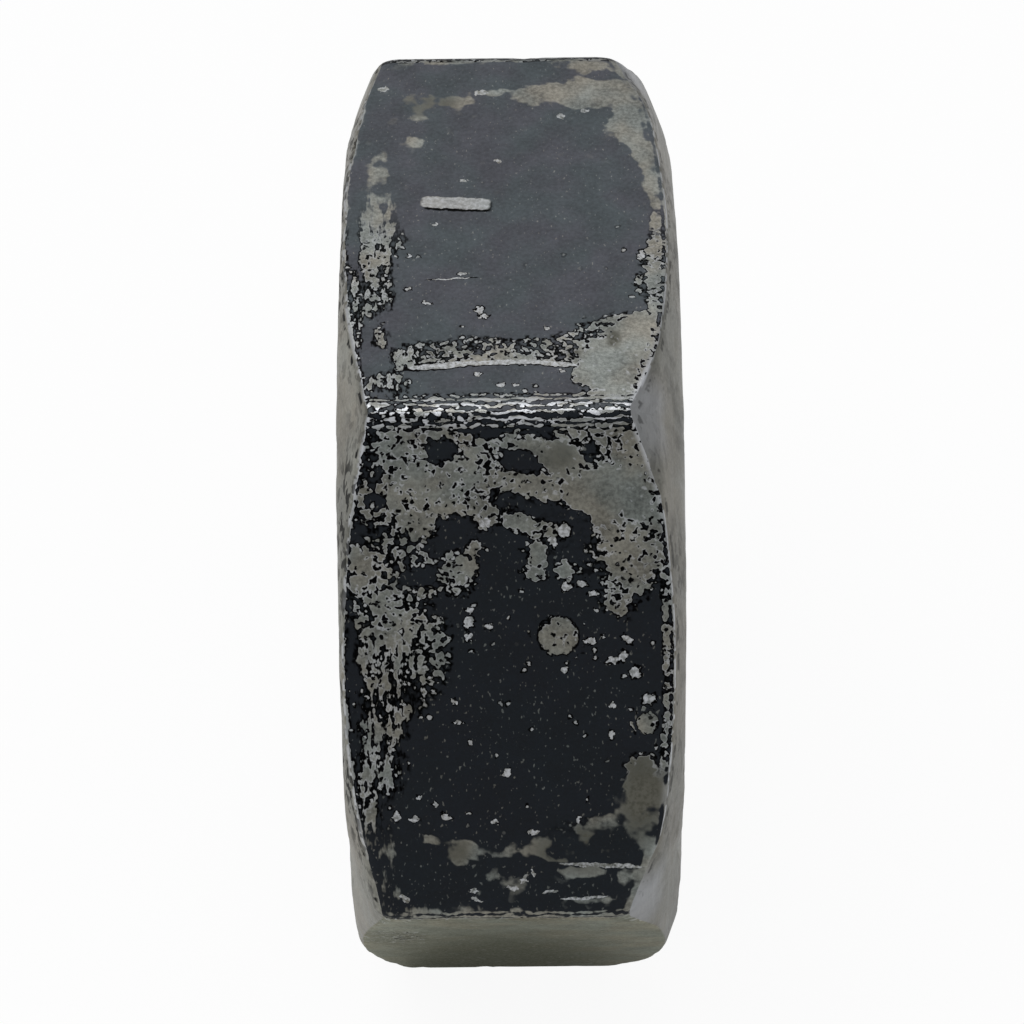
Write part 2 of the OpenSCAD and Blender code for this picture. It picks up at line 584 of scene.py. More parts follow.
def covered(tree, place, patch):
    """How far a patch covers a place: 1 inside it and 0 outside."""
    local = vector_math(tree, "SUBTRACT", place, (patch.across, patch.along, 0))
    inputs = {"Vector": local, "Angle": -math.radians(patch.turn)}
    local = add_term(tree, "ShaderNodeVectorRotate", inputs, rotation_type="Z_AXIS")
    local = vector_math(tree, "DIVIDE", local, (patch.half_across, patch.half_along, FAR))
    return length_of(tree, local).between(1 + patch.soft, 1 - patch.soft)


def painted(tree, place, layers, level):
    """A level after all the patches are laid on, one over another."""
    for patch in layers:
        level = mix_value(tree, covered(tree, place, patch), level, patch.bare)
    return level


def inside(tree, place, patch):
    """A place as a patch in a material sees it: 1 from its middle on its outline, each way."""
    inputs = {
        "Vector": place,
        "Location": (patch.across, patch.along, 0),
        "Rotation": (0, 0, math.radians(patch.turn)),
        "Scale": (patch.half_across, patch.half_along, FAR),
    }
    return add_term(tree, "ShaderNodeMapping", inputs, vector_type="TEXTURE")


def chipped(tree, across, along, chips):
    """How near a place is to any of the chips: over 0.5 inside one, and less in the rim round it.

    The reach rides along as the third coordinate, so that each chip waits for the one before it.
    Without that, Cycles works out all the chips at once and has no room for so many.
    """
    reach = 2.0
    for chip in chips:
        local = inside(tree, vector_of(tree, across, along, reach), chip)
        reach = length_of(tree, local).do("MINIMUM", reach)
    return reach.between(1.6, 0.4)


def dashed(tree, place, dash):
    """How far a straight-sided dash covers a place."""
    across, along, _ = parts_of(tree, inside(tree, place, dash))
    reach = across.do("ABSOLUTE").do("POWER", 8) + along.do("ABSOLUTE").do("POWER", 6)
    return reach.between(1.5, 0.5)


def shaken(tree, vector, place, scale, amount):
    """A vector moved a little by noise, so that what is laid out by it loses its even outline."""
    inputs = {"Vector": place, "Scale": scale, "Detail": 3.0}
    shift = add_term(tree, "ShaderNodeTexNoise", inputs, output=1)
    shift = vector_math(tree, "SUBTRACT", shift, (0.5, 0.5, 0.5))
    shift = vector_math(tree, "MULTIPLY", shift, (amount, amount, 0))
    return vector_math(tree, "ADD", vector, shift)


# Shape of the nut

def outline(tree, size, column):
    """The hexagon's radius and its turn from the top flat, at a column of the mesh."""
    per_side = FLAT_COLUMNS + CORNER_COLUMNS
    side = (column / per_side).do("FLOOR")
    place = column - side * per_side
    inner = size["Flat Radius"] - size["Corner Radius"]
    half_flat = inner * math.tan(HALF_TURN)
    on_flat = place.do("MINIMUM", FLAT_COLUMNS) * (2 / FLAT_COLUMNS) - 1
    bend = (place - FLAT_COLUMNS).do("MAXIMUM", 0) * (SIDE_TURN / CORNER_COLUMNS)
    height = inner + size["Corner Radius"] * bend.do("COSINE")
    along = half_flat * on_flat + size["Corner Radius"] * bend.do("SINE")
    turn = side * SIDE_TURN + along.do("ARCTAN2", height)
    radius = (height * height + along * along).do("SQRT")
    to_corner = half_flat * (1 - on_flat.do("ABSOLUTE"))
    return radius, turn, to_corner


def turned_profile(size):
    """Radii and axial places that the turned chamfers run through."""
    half = size["Thickness"] / 2
    outer_face = size["Flat Radius"] - size["Outer Inset"]
    bearing_face = size["Flat Radius"] - size["Bearing Inset"]
    break_radius = size["Flat Radius"] / math.cos(HALF_TURN) - size["Corner Break"]
    bearing_rise = size["Bearing Slope"].do("TANGENT")
    return {
        "half": half,
        "outer_face": outer_face,
        "outer_rise": size["Outer Slope"].do("TANGENT"),
        "bearing_face": bearing_face,
        "bearing_rise": bearing_rise,
        "break_radius": break_radius,
        "break_at": half - (break_radius - bearing_face) * bearing_rise,
        "break_rise": size["Corner Break Slope"].do("TANGENT"),
    }


def section_points(profile, outline_radius, mouth):
    """Corners of the section at one column, from the outer countersink round to the bearing one."""
    half = profile["half"]
    outer_edge = (outline_radius - profile["outer_face"]) * profile["outer_rise"] - half
    broken = profile["break_at"] - (outline_radius - profile["break_radius"]) * profile["break_rise"]
    sloped = half - (outline_radius - profile["bearing_face"]) * profile["bearing_rise"]
    ridge = outline_radius.do("MINIMUM", profile["break_radius"])
    ridge_at = half - (ridge - profile["bearing_face"]) * profile["bearing_rise"]
    return [
        (mouth, half * -1),
        (profile["outer_face"], half * -1),
        (outline_radius, outer_edge),
        (outline_radius, broken.do("MINIMUM", sloped)),
        (ridge, ridge_at),
        (profile["bearing_face"], half),
        (mouth, half),
    ]


def eased(share):
    """A share that moves slowly at both ends, so that rows gather at the edges."""
    return share * 0.3 + (1 - (share * math.pi).do("COSINE")) * 0.35


def along_section(points, row):
    """Radius and axial place of a row of the mesh on the section's corners."""
    radius, axial = points[0]
    start = 0
    for (near_r, near_x), (far_r, far_x), rows in zip(points, points[1:], SECTION_ROWS):
        share = ((row - start) / rows).do("MAXIMUM", 0).do("MINIMUM", 1)
        share = eased(share)
        radius = radius + (far_r - near_r) * share
        axial = axial + (far_x - near_x) * share
        start += rows
    return radius, axial


def section_distance(size, profile, radius, axial, outline_radius, edge):
    """Distance outside the section's rounded outline."""
    half = profile["half"]

    def slope(from_radius, from_axial, angle):
        across = (radius - from_radius) * angle.do("SINE")
        return across + from_axial * angle.do("COSINE")

    outer = slope(profile["outer_face"], (axial + half) * -1, size["Outer Slope"])
    broken = slope(profile["break_radius"], axial - profile["break_at"], size["Corner Break Slope"])
    bearing = slope(profile["bearing_face"], axial - half, size["Bearing Slope"])
    distance = (radius - outline_radius).do("SMOOTH_MAX", outer, edge)
    distance = distance.do("SMOOTH_MAX", broken, edge)
    distance = distance.do("SMOOTH_MAX", bearing, edge * 0.6)
    faces = axial.do("ABSOLUTE") - half
    return distance.do("SMOOTH_MAX", faces, edge * 1.1)


def placed(tree, axial, radius, turn):
    """A point at that place along the axis, that distance from it and that turn from the top."""
    across = radius * turn.do("SINE") * -1
    up = radius * turn.do("COSINE") + AXIS_HEIGHT
    return vector_of(tree, axial, across, up)


def grid_of(tree, rows):
    """A grid for one part of the surface, with the column and row of each of its points."""
    grid = add_term(tree, "GeometryNodeMeshGrid", {"Vertices X": COLUMNS + 1, "Vertices Y": rows + 1})
    index = add_term(tree, "GeometryNodeInputIndex")
    column = (index / (rows + 1)).do("FLOOR")
    row = index - column * (rows + 1)
    return grid, column, row


def store(tree, geometry, name, value, domain="POINT"):
    """The geometry with a value kept on it under a name."""
    inputs = {"Geometry": geometry, "Name": name, "Value": value}
    return add_term(tree, "GeometryNodeStoreNamedAttribute", inputs, domain=domain, data_type="FLOAT")


def stored(tree, name):
    """A value kept on the geometry."""
    return add_term(tree, "GeometryNodeInputNamedAttribute", {"Name": name}, data_type="FLOAT")


def moved(tree, geometry, position):
    """The geometry with its points set to a position."""
    return add_term(tree, "GeometryNodeSetPosition", {"Geometry": geometry, "Position": position})


def wear_levels(tree, point, across, radius, turn):
    """The share of bare steel and of stain on each flat: three have their own patches, the rest a rule."""
    side = (turn / SIDE_TURN).do("ROUND")
    along = radius * (turn - side * SIDE_TURN).do("SINE")
    place = shaken(tree, vector_of(tree, across, along, 0.0), point, 1700.0, 0.6)
    broad = noise(tree, point, 170.0, 2.0)
    wear = broad.between(0.44, 0.6) * 0.7 + 0.05
    stain = noise(tree, point, 260.0, 2.0).between(0.6, 0.75) * 0.6
    for number, layers, stains in PAINTED.values():
        here = side.do("COMPARE", number, 0.1)
        wear = mix_value(tree, here, wear, painted(tree, place, layers, 0.03))
        # On the foot flat the stain is mostly painted shade towards the foot
        stain = mix_value(tree, here, stain, painted(tree, place, stains, 0.0))
    return wear, stain


def outer_surface(tree, size, profile, mouth):
    """Flats, chamfers and faces, with worn edges, nicks and slightly uneven flats."""
    rows = sum(SECTION_ROWS)
    grid, column, row = grid_of(tree, rows)
    outline_radius, turn, to_corner = outline(tree, size, column)
    radius, axial = along_section(section_points(profile, outline_radius, mouth), row)
    sharp = placed(tree, axial, radius, turn)

    out_r = radius - CORE_RADIUS
    length = (out_r * out_r + axial * axial).do("SQRT")
    step_r = out_r / length
    step_x = axial / length
    wear = noise(tree, sharp, 420.0, 2.0)
    edge = size["Edge Radius"] * wear.between(0.25, 0.75) * 1.1 + size["Edge Radius"] * 0.45
    # The corner between the top and front flats is the least rounded
    away = (turn - HALF_TURN).do("ABSOLUTE").between(0.2, 0.5)
    edge = edge * (1 + to_corner.between(3.0 * MM, 0.3 * MM) * away * 1.2)
    near_edge = section_distance(size, profile, radius, axial, outline_radius, edge * 2.5) / (edge * 0.4)
    for _ in range(ROUNDING_PASSES):
        distance = section_distance(size, profile, radius, axial, outline_radius, edge) / ROUNDING_GAIN
        radius = radius - step_r * distance
        axial = axial - step_x * distance

    on_corner = 1 - to_corner.between(0.0, 0.9 * MM)
    nicks = noise(tree, sharp, 900.0, 3.0, 0.6).between(0.52, 0.74)
    waves = noise(tree, sharp, 230.0, 1.0)
    at_edge = near_edge.do("MAXIMUM", on_corner * 0.7).do("MINIMUM", 1)
    inside_mouth = (radius - mouth).between(0.0, 1.5 * MM)
    depth = size["Nick Depth"] * nicks * at_edge + size["Wave Depth"] * waves
    depth = depth * inside_mouth
    worn = placed(tree, axial - step_x * depth, radius - step_r * depth, turn)

    wear, stain = wear_levels(tree, sharp, axial / MM, outline_radius / MM, turn)
    shell = grid
    for name, value in (("row", row), ("turn", turn), ("wear", wear), ("stain", stain)):
        shell = store(tree, shell, name, value)
    shell = moved(tree, shell, worn)
    first = sum(SECTION_ROWS[:FLAT_SECTION])
    last = first + SECTION_ROWS[FLAT_SECTION]
    flat_row = stored(tree, "row")
    on_flat = flat_row.do("GREATER_THAN", first) * flat_row.do("LESS_THAN", last)
    side = (stored(tree, "turn") / SIDE_TURN).do("ROUND")
    chosen = FINISHES.index("plain_flat")
    for name, (number, _, _) in PAINTED.items():
        chosen = mix_value(tree, side.do("COMPARE", number, 0.1), chosen, FINISHES.index(name))
    finish = mix_value(tree, on_flat, FINISHES.index("turned"), chosen)
    return store(tree, shell, "finish", finish, domain="FACE")


def thread_surface(tree, size, profile, mouth):
    """A right-hand internal thread that runs out in the countersinks."""
    half = profile["half"]
    pitch = size["Thread Pitch"]
    per_pitch = len(TOOTH_STEPS)
    turns = math.ceil(THICKNESS / bpy.context.scene.nut_sizes.thread_pitch) + 1
    grid, column, row = grid_of(tree, turns * per_pitch)
    _, turn, _ = outline(tree, size, column)
    whole = (row / per_pitch).do("FLOOR")
    part = row - whole * per_pitch
    share = whole
    tooth = part * 0
    for number, (step, rise) in enumerate(zip(TOOTH_STEPS, TOOTH_RISES)):
        passed = (part - number).do("MAXIMUM", 0).do("MINIMUM", 1)
        share = share + passed * step
        tooth = tooth + passed * rise
    first_turn = math.atan2((FLAT_RADIUS - CORNER_RADIUS) * math.tan(HALF_TURN), FLAT_RADIUS)
    axial = (share + (turn + first_turn) / (2 * math.pi) - 1) * pitch - half
    axial = axial.do("MAXIMUM", half * -1).do("MINIMUM", half)
    radius = size["Bore Radius"] + tooth * pitch * TOOTH_SHARE
    sink = mouth - (half - axial.do("ABSOLUTE")) * (size["Countersink Angle"] / 2).do("TANGENT")
    radius = radius.do("SMOOTH_MAX", sink, 0.08 * MM)
    thread = moved(tree, grid, placed(tree, axial, radius, turn))
    return store(tree, thread, "finish", float(FINISHES.index("thread")), domain="FACE")


def nut_tree():
    """The Geometry Nodes tree that makes the whole nut, with its sizes and finishes as inputs."""
    tree = bpy.data.node_groups.new("Worn nut with thread", "GeometryNodeTree")
    tree.interface.new_socket("Geometry", in_out="INPUT", socket_type="NodeSocketGeometry")
    tree.interface.new_socket("Geometry", in_out="OUTPUT", socket_type="NodeSocketGeometry")
    sizes = bpy.context.scene.nut_sizes
    defaults = {
        "Flat Radius": FLAT_RADIUS,
        "Thickness": THICKNESS,
        "Corner Radius": CORNER_RADIUS,
        "Bore Radius": BORE_RADIUS,
    }
    for key in NutSizes.__annotations__:
        defaults[key.replace("_", " ").title()] = getattr(sizes, key)
    for name in defaults:
        tree.interface.new_socket(name, in_out="INPUT", socket_type="NodeSocketFloat")
    for name in FINISHES:
        tree.interface.new_socket(name, in_out="INPUT", socket_type="NodeSocketMaterial")
    entry = tree.nodes.new("NodeGroupInput")
    size = {name: Term(tree, entry.outputs[name]) for name in defaults}

    profile = turned_profile(size)
    nominal = size["Bore Radius"] + size["Thread Pitch"] * TOOTH_SHARE
    mouth = nominal + size["Countersink Over"] / 2
    shell = outer_surface(tree, size, profile, mouth)
    thread = thread_surface(tree, size, profile, mouth)
    join = tree.nodes.new("GeometryNodeJoinGeometry")
    for part in (shell, thread):
        tree.links.new(part.socket, join.inputs[0])
    merge = {"Geometry": Term(tree, join.outputs[0]), "Distance": MERGE_DISTANCE}
    nut = add_term(tree, "GeometryNodeMergeByDistance", merge)
    nut = add_term(tree, "GeometryNodeSetShadeSmooth", {"Geometry": nut, "Shade Smooth": True})
    nut = add_term(tree, "GeometryNodeRealizeInstances", {"Geometry": nut})
    finish = stored(tree, "finish")
    for number, name in enumerate(FINISHES):
        chosen = finish.do("COMPARE", number, 0.1)
        inputs = {"Geometry": nut, "Selection": chosen, "Material": Term(tree, entry.outputs[name])}
        nut = add_term(tree, "GeometryNodeSetMaterial", inputs)
    leave = tree.nodes.new("NodeGroupOutput")
    tree.links.new(nut.socket, leave.inputs[0])
    return tree, defaults


def plain_mesh(tree, values, name):
    """The tree's result as a mesh of its own, with no modifier left."""
    maker = bpy.data.objects.new(name + "_maker", bpy.data.meshes.new(name + "_start"))
    bpy.context.scene.collection.objects.link(maker)
    modifier = maker.modifiers.new("Nut", "NODES")
    modifier.node_group = tree
    for item in tree.interface.items_tree:
        if item.in_out == "INPUT" and item.name in values:
            modifier[item.identifier] = values[item.name]
    depsgraph = bpy.context.evaluated_depsgraph_get()
    mesh = bpy.data.meshes.new_from_object(maker.evaluated_get(depsgraph), depsgraph=depsgraph)
    start = maker.data
    bpy.data.objects.remove(maker)
    bpy.data.meshes.remove(start)
    mesh.name = name
    return mesh


def closed_outwards(mesh):
    """Takes out slivers and working values, turns every face outwards, and marks the sharp edges."""
    work = bmesh.new()
    work.from_mesh(mesh)
    bmesh.ops.dissolve_degenerate(work, edges=work.edges, dist=MERGE_DISTANCE)
    bmesh.ops.recalc_face_normals(work, faces=work.faces)
    open_edges = [edge for edge in work.edges if not edge.is_manifold]
    work.to_mesh(mesh)
    work.free()
    if open_edges:
        raise RuntimeError(f"the nut's surface has {len(open_edges)} open edges")
    for name in ("row", "turn", "finish"):
        mesh.attributes.remove(mesh.attributes[name])
    mesh.set_sharp_from_angle(angle=SHARP_ANGLE)


# Finish of the nut

# Sockets of the shader groups that hold a vector; the others hold a number
VECTORS = ("Point", "Place")


def new_material(name):
    """An empty material, and its tree."""
    material = bpy.data.materials.new(name)
    material.use_nodes = True
    material.node_tree.nodes.clear()
    return material, material.node_tree


def steel_shader(tree, colour, roughness, metallic, height, height_mm, glance=CLEAR):
    """A Principled shader fed with the finish, as the material's surface; glance tints it at low angles."""
    bump = add_node(tree, "ShaderNodeBump", {"Height": height, "Distance": height_mm * MM, "Strength": 1.0})
    shader = add_node(tree, "ShaderNodeBsdfPrincipled")
    feed(tree, colour, shader.inputs["Base Color"])
    feed(tree, roughness, shader.inputs["Roughness"])
    feed(tree, metallic, shader.inputs["Metallic"])
    feed(tree, Term(tree, bump.outputs[0]), shader.inputs["Normal"])
    shader.inputs["Specular IOR Level"].default_value = 0.2
    shader.inputs["Specular Tint"].default_value = glance
    out = add_node(tree, "ShaderNodeOutputMaterial")
    tree.links.new(shader.outputs[0], out.inputs["Surface"])


def add_socket(tree, name, side):
    """A named input or output on a shader group."""
    kind = "NodeSocketVector" if name in VECTORS else "NodeSocketFloat"
    tree.interface.new_socket(name, in_out=side, socket_type=kind)


def new_group(name, *inputs):
    """An empty shader group with named inputs, and those inputs as terms."""
    tree = bpy.data.node_groups.new(name, "ShaderNodeTree")
    for socket in inputs:
        add_socket(tree, socket, "INPUT")
    entry = tree.nodes.new("NodeGroupInput")
    return tree, {socket: Term(tree, entry.outputs[socket]) for socket in inputs}


def filled(tree, values):
    """The group's tree, with an output for each of the values."""
    for name in values:
        add_socket(tree, name, "OUTPUT")
    leave = tree.nodes.new("NodeGroupOutput")
    for name, value in values.items():
        feed(tree, value, leave.inputs[name])
    return tree


def use_group(tree, group, inputs=None):
    """The outputs of a node group placed in a material."""
    node = add_node(tree, "ShaderNodeGroup", node_tree=group)
    for name, value in (inputs or {}).items():
        feed(tree, value, node.inputs[name])
    return {socket.name: Term(tree, socket) for socket in node.outputs}


def stretched(tree, vector, across, along, turn=0.0):
    """A place on a flat, scaled across and along it after a turn in degrees."""
    inputs = {"Vector": vector, "Rotation": (0, 0, math.radians(turn)), "Scale": (across, along, 1)}
    return add_term(tree, "ShaderNodeMapping", inputs, vector_type="POINT")


def layout_group(sizes):
    """Where a point lies on the hexagon, in mm: across and along its flat, and from each edge of it."""
    tree, _ = new_group("Hexagon layout")
    point = add_term(tree, "ShaderNodeTexCoord", output="Object")
    scaled = add_term(tree, "ShaderNodeVectorMath", {0: point, "Scale": 1 / MM}, operation="SCALE")
    across, back, height = parts_of(tree, scaled)
    out = back * -1
    up = height - AXIS_HEIGHT / MM
    turn = out.do("ARCTAN2", up)
    side = (turn / SIDE_TURN).do("ROUND")
    local = turn - side * SIDE_TURN
    radius = (out * out + up * up).do("SQRT")
    along = radius * local.do("SINE")
    half = THICKNESS / MM / 2
    flat_radius = FLAT_RADIUS / MM
    bearing_face = (FLAT_RADIUS - sizes.bearing_inset) / MM
    break_radius = (SHARP_RADIUS - sizes.corner_break) / MM
    break_drop = (break_radius - bearing_face) * math.tan(sizes.bearing_slope)
    sloped = (radius - bearing_face) * math.tan(sizes.bearing_slope)
    broken = (radius - break_radius) * math.tan(sizes.corner_break_slope) + break_drop
    outer = (radius - (FLAT_RADIUS - sizes.outer_inset) / MM) * math.tan(sizes.outer_slope)
    side = side.do("FLOORED_MODULO", SIDES)
    return filled(tree, {
        "Point": scaled,
        "Place": vector_of(tree, across, along, side * PATTERN_STEP),
        "Side": side,
        "Across": across,
        "Along": along,
        "Radius": radius,
        "Rim": flat_radius / local.do("COSINE") - radius,
        "Bearing Edge": half - sloped.do("MAXIMUM", broken) - across,
        "Outer Edge": across + half - outer,
        "Corner Edge": flat_radius * math.tan(HALF_TURN) - along.do("ABSOLUTE"),
    })


def oxide_group():
    """Where the oxide has worn off, from the share of bare steel that is wanted and fractal noise."""
    tree, given = new_group("Worn oxide", "Place", "Level", "Streak", "Lines", "Smoky")
    place = given["Place"]
    level = given["Level"]
    crisp = 1 - given["Smoky"]
    fine = noise(tree, place, 4.4, 1.2)
    broad = noise(tree, place, 1.3, 2.0)
    spots = mix_value(tree, given["Smoky"] * 0.6 + 0.3, fine, broad)
    streaks = noise(tree, stretched(tree, place, 4.6, 1.4), 1.0, 2.0, 0.6)
    bands = {"Vector": stretched(tree, place, 0.8, 1.3), "Scale": 1.0, "Distortion": 6.0, "Detail Scale": 1.5}
    lines = add_term(tree, "ShaderNodeTexWave", bands, output="Fac", bands_direction="Y") * 0.3 + fine * 0.7
    mixed = mix_value(tree, given["Streak"], spots, streaks)
    mixed = mix_value(tree, given["Lines"], mixed, lines)
    gap = level - (mixed.between(0.3, 0.7) * 0.76 + 0.12)
    bare = (gap / (given["Smoky"] * 0.13 + 0.05)).between(-1.0, 1.0)
    rim = gap.between(-0.44, -0.12) * level.between(0.05, 0.16)
    # Small round pits in the bare steel, and round flakes off the oxide
    uneven = shaken(tree, place, place, 5.0, 0.3)
    cells = add_node(tree, "ShaderNodeTexVoronoi", {"Vector": uneven, "Scale": 4.2}, voronoi_dimensions="2D")
    middle = Term(tree, cells.outputs["Distance"])
    first, second, third = parts_of(tree, Term(tree, cells.outputs["Color"]))
    pit_chance = first - (level * 1.1 - 0.04).do("MAXIMUM", 0.66)
    flake_chance = second + level * 0.5
    pit_size = third * 0.34 + 0.1
    pits = (pit_size - middle).between(0.0, 0.12) * pit_chance.between(0.0, 0.02) * bare * crisp
    flaked = flake_chance.between(0.99, 1.0) * (1 - bare) * crisp
    flakes = middle.between(0.3, 0.18) * flaked
    edge = gap.between(0.2, 0.05) * broad.between(0.3, 0.6) * bare * crisp
    bare = (bare * (1 - pits)).do("MAXIMUM", flakes)
    rim = rim.do("MAXIMUM", middle.between(0.6, 0.4) * flaked).do("MAXIMUM", pits)
    rim = rim * (1 - bare) * crisp
    return filled(tree, {"Bare": bare, "Rim": rim, "Edge": edge.do("MAXIMUM", flakes)})


def grain_group():
    """Mottling, tint and fine grain of steel."""
    tree, given = new_group("Steel grain", "Place")
    place = given["Place"]
    flecks = noise(tree, stretched(tree, place, 9.0, 5.5, 25), 1.0, 1.0, 0.6)
    return filled(tree, {
        "Mottle": noise(tree, place, 0.75, 4.0, 0.6).between(0.28, 0.72),
        "Tint": noise(tree, place, 0.45, 2.0).between(0.35, 0.65),
        "Grit": noise(tree, place, 7.0, 2.0, 0.6).between(0.32, 0.68),
        "Fine": noise(tree, place, 9.0, 3.0, 0.7).between(0.25, 0.75),
        "Flecks": flecks.between(0.66, 0.75),
    })


def scaled_colour(colour, scale):
    """A colour made darker or lighter."""
    return tuple(min(part * scale, 1) for part in colour[:3]) + (1,)


def tinted(tree, share, colour, first=(1.05, 1.0, 0.92, 1), second=(0.95, 1.02, 1.03, 1)):
    """A colour with the first faint tint where the share is 0, and the second where it is 1."""
    inputs = {0: 1.0, 6: colour, 7: mix_colour(tree, share, first, second)}
    return add_term(tree, "ShaderNodeMix", inputs, output=2, data_type="RGBA", blend_type="MULTIPLY")


def attribute(tree, name):
    """A value kept on the mesh."""
    return add_term(tree, "ShaderNodeAttribute", output="Fac", attribute_name=name)


def edge_wear(tree, spot, look):
    """The share of bare steel on a flat and its edges, how bright they are, and where wear runs in lines."""
    strip = spot["Bearing Edge"]
    outer = spot["Outer Edge"]
    end = spot["Along"].between(-look.rubbed_end, look.rubbed_end)
    to_corner = spot["Corner Edge"] / (end * 0.6 + 0.4)
    near_end = end * spot["Corner Edge"].between(4.5, 2.0)
    level = attribute(tree, "wear")
    bands = (
        # Along the bearing edge a bare strip, a broken dark line and a bright rim, which with its polish is
        # partly a painted highlight
        (strip, 0.52, 0.34, 0.66),
        (strip, 0.24, 0.15, near_end * 0.3 + 0.34),
        (strip, 0.1, 0.03, 0.9),
        # Along the outer edge a dark line and a bright rim, which with its polish is partly a painted
        # highlight
        (outer, 0.3, 0.1, 0.3),
        (outer, 0.16, 0.06, 0.78),
    )
    for edge, far, near, bare in bands:
        level = mix_value(tree, edge.between(far, near), level, bare)
    corner = to_corner.between(0.8, 0.3)
    level = mix_value(tree, corner, level, mix_value(tree, end, look.far_wear, 0.37))
    shine = noise(tree, stretched(tree, spot["Place"], 1.2, 5.0), 1.0, 2.0).between(0.46, 0.58)
    # Polish: worn bright steel on the rubbed corner and along the edges, brightened further as a painted
    # highlight
    polish_and_highlight = corner * end * (shine * 0.9 + 0.1)
    polish_and_highlight = polish_and_highlight.do("MAXIMUM", strip.between(0.3, 0.06) * (near_end * 0.7 + 0.2))
    polish_and_highlight = polish_and_highlight.do("MAXIMUM", outer.between(0.24, 0.1) * (near_end * 0.65 + 0.3))
    lines = to_corner.between(0.95, 0.55) * (spot["Across"].between(-3.6, -1.4) * 0.6 + 0.4)
    return level, polish_and_highlight, lines


def marked(tree, spot, look, grit, smoky, bare, rim, bright):
    """Bare steel, dark rims and bright steel after a flat's round spots, chips, scratches and dash."""
    place = spot["Place"]
    flat_place = vector_of(tree, spot["Across"], spot["Along"], 0.0)
    across, along, _ = parts_of(tree, shaken(tree, flat_place, place, 6.0, 0.4))
    smooth_place = shaken(tree, flat_place, place, 4.0, 0.22)
    smooth_across, smooth_along, _ = parts_of(tree, smooth_place)
    if look.spots:
        # Oxide rings the round spots
        near = chipped(tree, mix_value(tree, 0.3, spot["Across"], across), along, look.spots)
        ring = near.between(0.02, 0.1) * near.between(0.52, 0.44)
        bare = bare * (1 - ring)
        rim = mix_value(tree, ring, rim, near.between(0.3, 0.4))
    scratched = chipped(tree, smooth_across, smooth_along, look.scratches)
    near = chipped(tree, across, along, look.chips).do("MAXIMUM", scratched)
    chip = near.between(0.52, 0.64)
    rim = rim.do("MAXIMUM", near.between(0.06, 0.24) * (1 - smoky))
    if look.dash:
        # A painted shadow: a dark line along the dash's lower side
        dash = dashed(tree, smooth_place, DASH)
        chip = chip.do("MAXIMUM", dash)
        bright = bright.do("MAXIMUM", dash * (grit * 0.3 + 0.3))
        dash_shadow = DASH._replace(across=DASH.across + 0.08, along=DASH.along + 0.14)
        rim = rim.do("MAXIMUM", dashed(tree, smooth_place, dash_shadow))
    bare = bare.do("MAXIMUM", chip)
    bright = bright.do("MAXIMUM", chip * (grit * 0.7 + 0.2 - smoky * 0.2))
    return bare, rim * (1 - bare), bright


def flat_material(name, groups, colours, look):
    """A blackened flat, worn by its own patches, or by rule where it has none."""
    material, tree = new_material(name)
    spot = use_group(tree, groups["layout"])
    place = spot["Place"]
    if look.rubbed_end:
        level, polish_and_highlight, lines = edge_wear(tree, spot, look)
    else:
        level, polish_and_highlight, lines = attribute(tree, "wear"), 0.0, 0.0
    grain = use_group(tree, groups["grain"], {"Place": place})
    streak = spot["Across"].between(-2.4, -3.7) * spot["Along"].between(-2.2, -0.8) * 0.6
    first, last, sooner = look.smoky
    smoky = (spot["Along"] + spot["Across"].between(2.0, 4.0) * sooner).between(first, last)
    given = {"Place": place, "Level": level, "Streak": streak, "Lines": lines, "Smoky": smoky}
    worn = use_group(tree, groups["oxide"], given)
    bare, rim, bright = worn["Bare"], worn["Rim"], worn["Edge"] * 0.5
    if look.chips:
        bare, rim, bright = marked(tree, spot, look, grain["Grit"], smoky, bare, rim, bright)

    tone = grain["Mottle"] * 0.55 + grain["Grit"] * 0.45
    steel = mix_colour(tree, tone, scaled_colour(look.steel, 0.55), scaled_colour(look.steel, 1.45))
    stained = attribute(tree, "stain") * (grain["Grit"] * 0.4 + 0.7)
    steel = mix_colour(tree, stained, tinted(tree, grain["Tint"], steel), tuple(look.stain))
    # Polished steel on chips and edges, partly a painted highlight
    steel = mix_colour(tree, bright.do("MAXIMUM", polish_and_highlight), steel, tuple(colours.polished_steel_and_highlight))
    coat = mix_colour(tree, tone, scaled_colour(look.oxide, 0.72), scaled_colour(look.oxide, 1.3))
    coat = tinted(tree, grain["Tint"], coat, (1.04, 0.98, 1.02, 1), (0.95, 1.03, 1.0, 1))
    coat = mix_colour(tree, grain["Flecks"] * 0.4, coat, steel)
    coat = mix_colour(tree, rim, coat, tuple(colours.rim))
    colour = mix_colour(tree, bare, coat, steel)
    roughness = mix_value(tree, bare, grain["Fine"] * 0.14 + 0.38, grain["Fine"] * 0.16 + 0.36)
    metallic = (bare * 0.92).do("MAXIMUM", rim)
    steel_shader(tree, colour, roughness, metallic, grain["Fine"], 0.004, look.glance)
    return material


